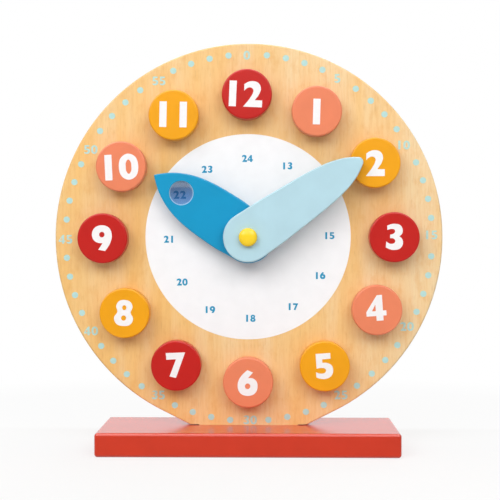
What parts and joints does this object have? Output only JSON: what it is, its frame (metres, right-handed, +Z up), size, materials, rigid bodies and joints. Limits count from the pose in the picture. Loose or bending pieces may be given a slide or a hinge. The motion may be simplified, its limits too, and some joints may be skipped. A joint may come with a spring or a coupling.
{
  "type": "geared teaching clock",
  "caption": "Round wooden teaching clock standing in a plank: pull-out number discs that turn, and two hands linked by hidden gears so that the hour hand follows the minute hand.",
  "frame": {"origin": "centre of the plank's underside", "axes": "+Z up, +X to the right as seen from the front, -Y out of the dial towards the user"},
  "size_m": [0.25, 0.065, 0.2612],
  "materials": {
    "base_red": "red gloss lacquer on wood",
    "board_wood": "pale clear-lacquered wood",
    "disc_red": "red satin paint on wood",
    "disc_coral": "coral satin paint on wood",
    "disc_yellow": "yellow satin paint on wood",
    "peg_wood": "bare dowel",
    "hand_dark_blue": "mid-blue satin paint on wood",
    "hand_light_blue": "light blue satin paint on wood",
    "window_clear": "clear polished plastic",
    "knob_yellow": "glossy yellow",
    "steel": "plain steel",
    "gear_plastic": "moulded off-white",
    "case_plastic": "moulded white"
  },
  "bodies": {
    "stand": {"base_plank": "base_red", "base_screws": "steel", "dial_board": "board_wood", "case_plate": "case_plastic", "case_cover": "case_plastic", "case_screws": "steel", "neck_washer": "steel", "neck_nut": "steel", "reduction_stud": "steel", "friction_spring": "steel"},
    "minute_hand": {"minute_hand": "hand_light_blue", "hand_spacer": "gear_plastic", "centre_knob": "knob_yellow", "minute_arbor": "steel", "minute_pinion": "gear_plastic"},
    "hour_hand": {"hour_hand": "hand_dark_blue", "hour_window": "window_clear", "hour_wheel": "gear_plastic"},
    "reduction_wheel": {"reduction_wheel": "gear_plastic"},
    "peg_01": {"disc_peg_01": "peg_wood"},
    "disc_01": {"number_disc_01": "disc_coral"},
    "peg_02": {"disc_peg_02": "peg_wood"},
    "disc_02": {"number_disc_02": "disc_yellow"},
    "peg_03": {"disc_peg_03": "peg_wood"},
    "disc_03": {"number_disc_03": "disc_red"},
    "peg_04": {"disc_peg_04": "peg_wood"},
    "disc_04": {"number_disc_04": "disc_coral"},
    "peg_05": {"disc_peg_05": "peg_wood"},
    "disc_05": {"number_disc_05": "disc_yellow"},
    "peg_06": {"disc_peg_06": "peg_wood"},
    "disc_06": {"number_disc_06": "disc_coral"},
    "peg_07": {"disc_peg_07": "peg_wood"},
    "disc_07": {"number_disc_07": "disc_red"},
    "peg_08": {"disc_peg_08": "peg_wood"},
    "disc_08": {"number_disc_08": "disc_yellow"},
    "peg_09": {"disc_peg_09": "peg_wood"},
    "disc_09": {"number_disc_09": "disc_red"},
    "peg_10": {"disc_peg_10": "peg_wood"},
    "disc_10": {"number_disc_10": "disc_coral"},
    "peg_11": {"disc_peg_11": "peg_wood"},
    "disc_11": {"number_disc_11": "disc_yellow"},
    "peg_12": {"disc_peg_12": "peg_wood"},
    "disc_12": {"number_disc_12": "disc_red"}
  },
  "joints": [
    {"name": "minute_hand_turn", "type": "hinge", "parent": "stand", "child": "minute_hand", "pos_m": [0, 0, 0.1362], "axis": [0, 1, 0], "continuous": true},
    {"name": "reduction_wheel_turn", "type": "hinge", "parent": "stand", "child": "reduction_wheel", "pos_m": [0, 0, 0.1122], "axis": [0, 1, 0], "continuous": true},
    {"name": "hour_hand_turn", "type": "hinge", "parent": "stand", "child": "hour_hand", "pos_m": [0, 0, 0.1362], "axis": [0, 1, 0], "continuous": true},
    {"name": "disc_01_pull", "type": "slide", "parent": "stand", "child": "peg_01", "axis": [0, -1, 0], "range_m": [0, 0.012]},
    {"name": "disc_01_turn", "type": "hinge", "parent": "peg_01", "child": "disc_01", "pos_m": [0.0437, 0, 0.21654], "axis": [0, 1, 0], "continuous": true},
    {"name": "disc_02_pull", "type": "slide", "parent": "stand", "child": "peg_02", "axis": [0, -1, 0], "range_m": [0, 0.0012]},
    {"name": "disc_02_turn", "type": "hinge", "parent": "peg_02", "child": "disc_02", "pos_m": [0.08084, 0, 0.1837], "axis": [0, 1, 0], "continuous": true},
    {"name": "disc_03_pull", "type": "slide", "parent": "stand", "child": "peg_03", "axis": [0, -1, 0], "range_m": [0, 0.012]},
    {"name": "disc_03_turn", "type": "hinge", "parent": "peg_03", "child": "disc_03", "pos_m": [0.093, 0, 0.1363], "axis": [0, 1, 0], "continuous": true},
    {"name": "disc_04_pull", "type": "slide", "parent": "stand", "child": "peg_04", "axis": [0, -1, 0], "range_m": [0, 0.012]},
    {"name": "disc_04_turn", "type": "hinge", "parent": "peg_04", "child": "disc_04", "pos_m": [0.08204, 0, 0.0899], "axis": [0, 1, 0], "continuous": true},
    {"name": "disc_05_pull", "type": "slide", "parent": "stand", "child": "peg_05", "axis": [0, -1, 0], "range_m": [0, 0.012]},
    {"name": "disc_05_turn", "type": "hinge", "parent": "peg_05", "child": "disc_05", "pos_m": [0.0488, 0, 0.05406], "axis": [0, 1, 0], "continuous": true},
    {"name": "disc_06_pull", "type": "slide", "parent": "stand", "child": "peg_06", "axis": [0, -1, 0], "range_m": [0, 0.012]},
    {"name": "disc_06_turn", "type": "hinge", "parent": "peg_06", "child": "disc_06", "pos_m": [-0.0001, 0, 0.0436], "axis": [0, 1, 0], "continuous": true},
    {"name": "disc_07_pull", "type": "slide", "parent": "stand", "child": "peg_07", "axis": [0, -1, 0], "range_m": [0, 0.012]},
    {"name": "disc_07_turn", "type": "hinge", "parent": "peg_07", "child": "disc_07", "pos_m": [-0.0461, 0, 0.05426], "axis": [0, 1, 0], "continuous": true},
    {"name": "disc_08_pull", "type": "slide", "parent": "stand", "child": "peg_08", "axis": [0, 1, 0], "range_m": [-0.012, 0]},
    {"name": "disc_08_turn", "type": "hinge", "parent": "peg_08", "child": "disc_08", "pos_m": [-0.07904, 0, 0.0878], "axis": [0, 1, 0], "continuous": true},
    {"name": "disc_09_pull", "type": "slide", "parent": "stand", "child": "peg_09", "axis": [0, -1, 0], "range_m": [0, 0.012]},
    {"name": "disc_09_turn", "type": "hinge", "parent": "peg_09", "child": "disc_09", "pos_m": [-0.0931, 0, 0.1356], "axis": [0, 1, 0], "continuous": true},
    {"name": "disc_10_pull", "type": "slide", "parent": "stand", "child": "peg_10", "axis": [0, -1, 0], "range_m": [0, 0.012]},
    {"name": "disc_10_turn", "type": "hinge", "parent": "peg_10", "child": "disc_10", "pos_m": [-0.08124, 0, 0.1814], "axis": [0, 1, 0], "continuous": true},
    {"name": "disc_11_pull", "type": "slide", "parent": "stand", "child": "peg_11", "axis": [0, -1, 0], "range_m": [0, 0.012]},
    {"name": "disc_11_turn", "type": "hinge", "parent": "peg_11", "child": "disc_11", "pos_m": [-0.0476, 0, 0.21424], "axis": [0, 1, 0], "continuous": true},
    {"name": "disc_12_pull", "type": "slide", "parent": "stand", "child": "peg_12", "axis": [0, -1, 0], "range_m": [0, 0.012]},
    {"name": "disc_12_turn", "type": "hinge", "parent": "peg_12", "child": "disc_12", "pos_m": [-0.0009, 0, 0.2274], "axis": [0, 1, 0], "continuous": true}
  ],
  "couplings": [
    {"joint": "reduction_wheel_turn", "follows": "minute_hand_turn", "ratio": -0.33333},
    {"joint": "hour_hand_turn", "follows": "minute_hand_turn", "ratio": 0.083333}
  ]
}
